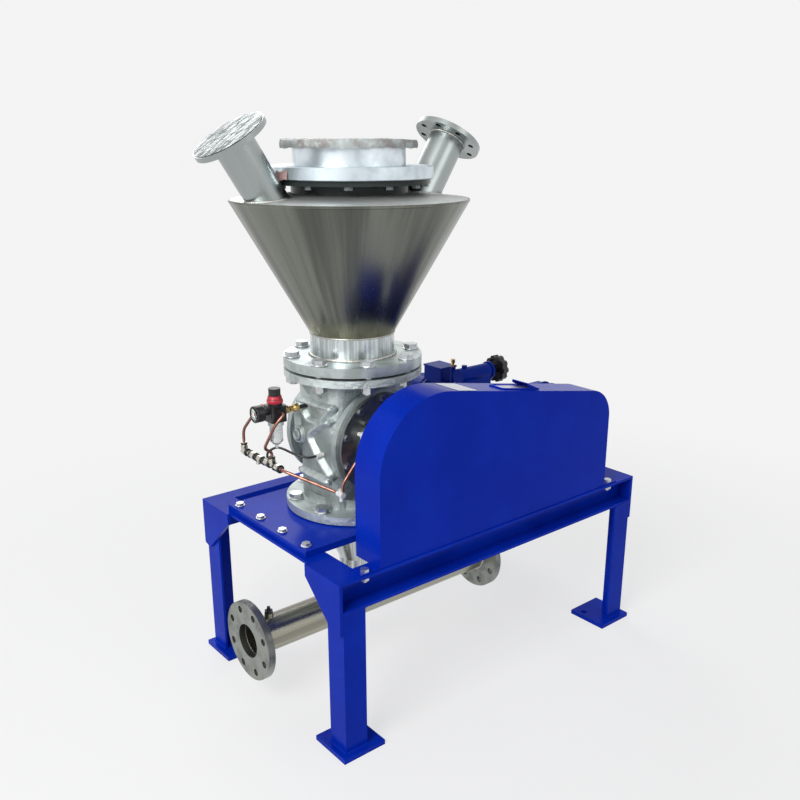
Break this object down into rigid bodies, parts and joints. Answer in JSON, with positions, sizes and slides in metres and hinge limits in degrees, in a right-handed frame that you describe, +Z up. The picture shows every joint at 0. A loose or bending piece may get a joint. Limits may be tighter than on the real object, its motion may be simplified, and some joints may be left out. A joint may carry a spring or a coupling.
{
  "type": "rotary airlock valve unit",
  "caption": "Rotary airlock valve on a steel frame, with feed hopper, conveying pipe, guarded roller chain drive, geared motor and seal air set.",
  "frame": {"origin": "on the floor, at the centre of the four anchor holes", "axes": "+X from the valve end to the drive end, +Y away from the chain guard, +Z up"},
  "size_m": [1.1084, 0.697, 1.3946],
  "materials": {
    "blue_paint": "gloss",
    "drive_paint": "gloss",
    "zinc_bolt": "zinc plated",
    "casting": "sand cast, silver paint",
    "cover_casting": "turned face",
    "bearing_steel": "ground",
    "gasket_rubber": "matt",
    "stainless": "polished",
    "stainless_flange": "turned",
    "black_plastic": "satin",
    "neck_paint": "dark",
    "zinc_ring": "bright zinc",
    "chain_steel": "oiled",
    "brass": "polished",
    "clear_bowl": "clear polycarbonate",
    "gauge_case": "white dial",
    "nickel": "nickel plated brass",
    "copper": "bare copper tube",
    "white_plastic": "moulded",
    "rotor_steel": "ground vanes",
    "sprocket_steel": "dark, oiled",
    "shaft_steel": "ground",
    "knob_plastic": "ribbed",
    "needle_red": "gloss"
  },
  "bodies": {
    "frame": {"front_beam": "blue_paint", "back_beam": "blue_paint", "cross_ties": "blue_paint", "leg_front_left": "blue_paint", "leg_front_right": "blue_paint", "leg_back_left": "blue_paint", "leg_back_right": "blue_paint", "foot_plates": "blue_paint", "corner_gussets": "blue_paint", "support_plate_front": "blue_paint", "support_plate_back": "blue_paint", "frame_bolts": "zinc_bolt", "valve_housing": "casting", "end_cover_front": "cover_casting", "end_cover_rear": "cover_casting", "cover_bolts_set": "zinc_bolt", "shaft_bearings": "bearing_steel", "flange_gaskets": "gasket_rubber", "inlet_bolts": "zinc_bolt", "outlet_bolts": "zinc_bolt", "drop_out": "stainless", "conveying_pipe": "stainless", "pipe_flanges": "stainless_flange", "purge_plug": "black_plastic", "spigot_flange": "stainless_flange", "hopper_shell": "stainless", "hopper_cover": "stainless", "nozzle_left": "stainless", "nozzle_right": "stainless", "inlet_neck": "neck_paint", "inlet_ring": "zinc_ring", "inlet_collar": "zinc_ring", "ring_bolts_set": "zinc_bolt", "guard_cover": "blue_paint", "guard_back": "blue_paint", "guard_bracket": "blue_paint", "roller_chain": "chain_steel", "drive_base": "blue_paint", "gear_unit": "drive_paint", "variator": "drive_paint", "motor": "drive_paint", "fan_cowl": "drive_paint", "terminal_box": "drive_paint", "breather": "brass", "regulator_body": "black_plastic", "filter_bowl": "clear_bowl", "pressure_gauge": "gauge_case", "air_manifold": "nickel", "copper_tubes": "copper", "air_hose": "black_plastic", "push_fittings": "white_plastic"},
    "rotor": {"rotor": "rotor_steel", "rotor_sprocket": "sprocket_steel"},
    "output": {"output_shaft": "shaft_steel", "drive_sprocket": "sprocket_steel"},
    "handwheel": {"handwheel": "black_plastic"},
    "knob": {"regulator_knob": "knob_plastic"},
    "needle": {"gauge_needle": "needle_red"}
  },
  "joints": [
    {"name": "rotor_spin", "type": "hinge", "parent": "frame", "child": "rotor", "pos_m": [-0.218, 0, 0.64], "axis": [0, 1, 0], "continuous": true, "deforming": ["roller_chain"]},
    {"name": "output_spin", "type": "hinge", "parent": "frame", "child": "output", "pos_m": [0.29784, 0, 0.64], "axis": [0, 1, 0], "continuous": true},
    {"name": "speed_handwheel", "type": "hinge", "parent": "frame", "child": "handwheel", "pos_m": [0.29784, 0.12, 0.687], "axis": [1, 0, 0], "continuous": true},
    {"name": "pressure_knob", "type": "hinge", "parent": "frame", "child": "knob", "pos_m": [-0.42, 0.062, 0.719], "axis": [0, 0, 1], "range_deg": [-720, 720]},
    {"name": "gauge_pointer", "type": "hinge", "parent": "frame", "child": "needle", "pos_m": [-0.42, 0.062, 0.725], "axis": [-1, 0, 0], "range_deg": [-270, 0]}
  ],
  "couplings": [
    {"joint": "output_spin", "follows": "rotor_spin", "ratio": 2.6667}
  ]
}
